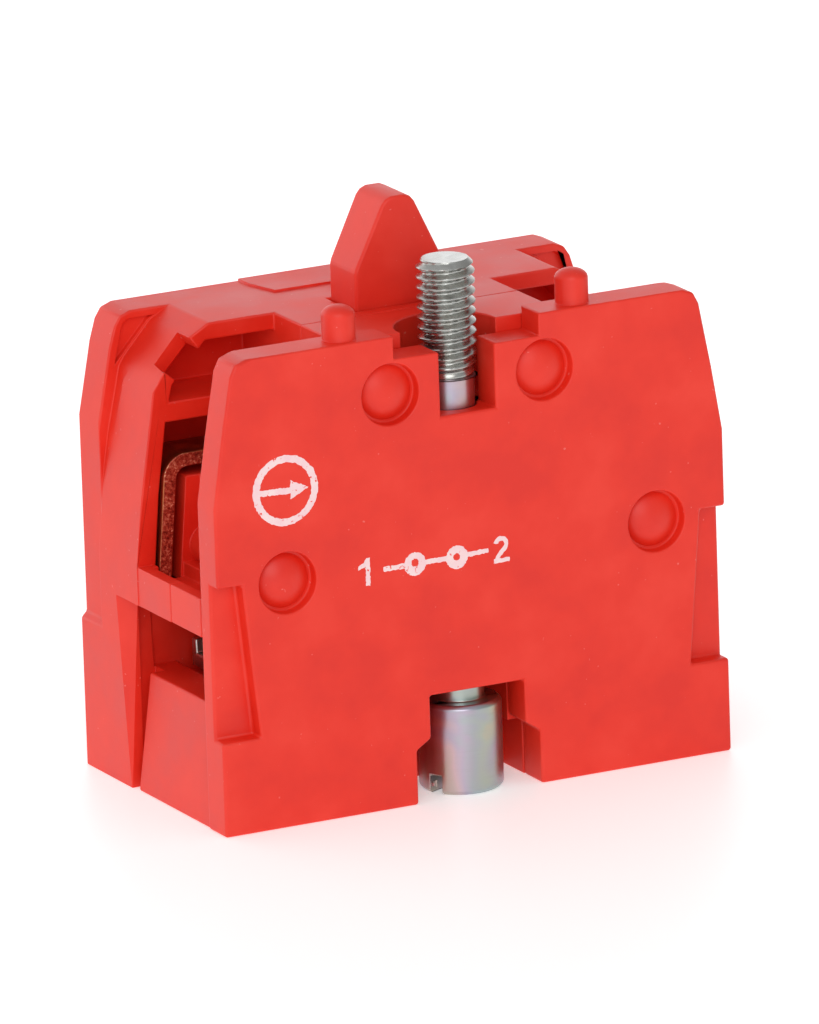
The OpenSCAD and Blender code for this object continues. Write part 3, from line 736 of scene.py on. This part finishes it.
def printed(name, shapes, seed):
    """Flat ink on the cover's front with ragged edges; a shape is its outline and then its holes"""
    pick = random.Random(seed)
    whole = bmesh.new()
    for layer, shape in enumerate(shapes):
        flat_ink = bpy.data.curves.new(name, "CURVE")
        flat_ink.dimensions = "2D"
        flat_ink.fill_mode = "BOTH"
        flat_ink.extrude = INK_DEPTH - layer * LAYER_STEP
        for outline in shape:
            fine = []
            for (x0, z0), (x1, z1) in zip(outline, outline[1:] + outline[:1]):
                count = max(1, int(((x1 - x0) ** 2 + (z1 - z0) ** 2) ** 0.5 / 0.12))
                fine += [(x0 + (x1 - x0) * i / count, z0 + (z1 - z0) * i / count) for i in range(count)]
            spline = flat_ink.splines.new("POLY")
            spline.points.add(len(fine) - 1)
            for point, (x, z) in zip(spline.points, fine):
                x_off, z_off = pick.uniform(-RAGGED, RAGGED), pick.uniform(-RAGGED, RAGGED)
                point.co = (x * MM + x_off, z * MM + z_off, 0, 1)
            spline.use_cyclic_u = True
        drawn = place(flat_ink, name)
        whole.from_mesh(evaluated_mesh(drawn, name))
        bpy.data.objects.remove(drawn)
    mesh = bpy.data.meshes.new(name)
    whole.to_mesh(mesh)
    whole.free()
    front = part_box("cover")[0][1]
    mesh.transform(Matrix.Translation((0, front, 0)) @ Matrix.Rotation(pi / 2, 4, "X"))
    mesh.materials.append(ink)
    ink_piece = place(mesh, name)
    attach(ink_piece, "case")


ink = pad_ink("white_pad_ink")
RING_AT = (-14.0, 23.55)
printed("print_direction_arrow", [
    [ring_outline(RING_AT, 2.45), ring_outline(RING_AT, 1.95)],
    [[(-16.03, 23.80), (-13.62, 23.72), (-13.6, 24.2), (-12.27, 23.55), (-13.65, 22.85), (-13.63, 23.27),
      (-16.03, 23.39)]],
], 11)
printed("print_contact_sign", [
    [ring_outline((-4.44, 16.94), 0.82, count=48), ring_outline((-4.44, 17.03), 0.28, count=24)],
    [ring_outline((-1.27, 16.93), 0.82, count=48), ring_outline((-1.27, 16.95), 0.25, count=24)],
    [stroke([(-6.85, 16.93), (-5.2, 16.93)], 0.36)], [stroke([(-3.68, 16.95), (-2.03, 16.96)], 0.35)],
    [stroke([(-0.5, 16.98), (1.17, 17.05)], 0.33)],
], 12)
printed("print_number_1", [[[(-8.18, 15.97), (-7.85, 15.97), (-7.85, 17.9), (-8.1, 17.9), (-8.3, 17.62),
                             (-8.72, 17.42), (-8.72, 17.14), (-8.18, 17.32)]]], 13)
bow = ring_outline((2.12, 17.34), 0.40, radians(170), radians(-35), 14)
printed("print_number_2", [[stroke(bow + [(2.30, 16.95), (1.95, 16.62), (1.78, 16.36), (1.72, 16.2)], 0.32)],
                           [[(1.55, 16.05), (2.72, 16.05), (2.72, 16.35), (1.55, 16.35)]]], 14)
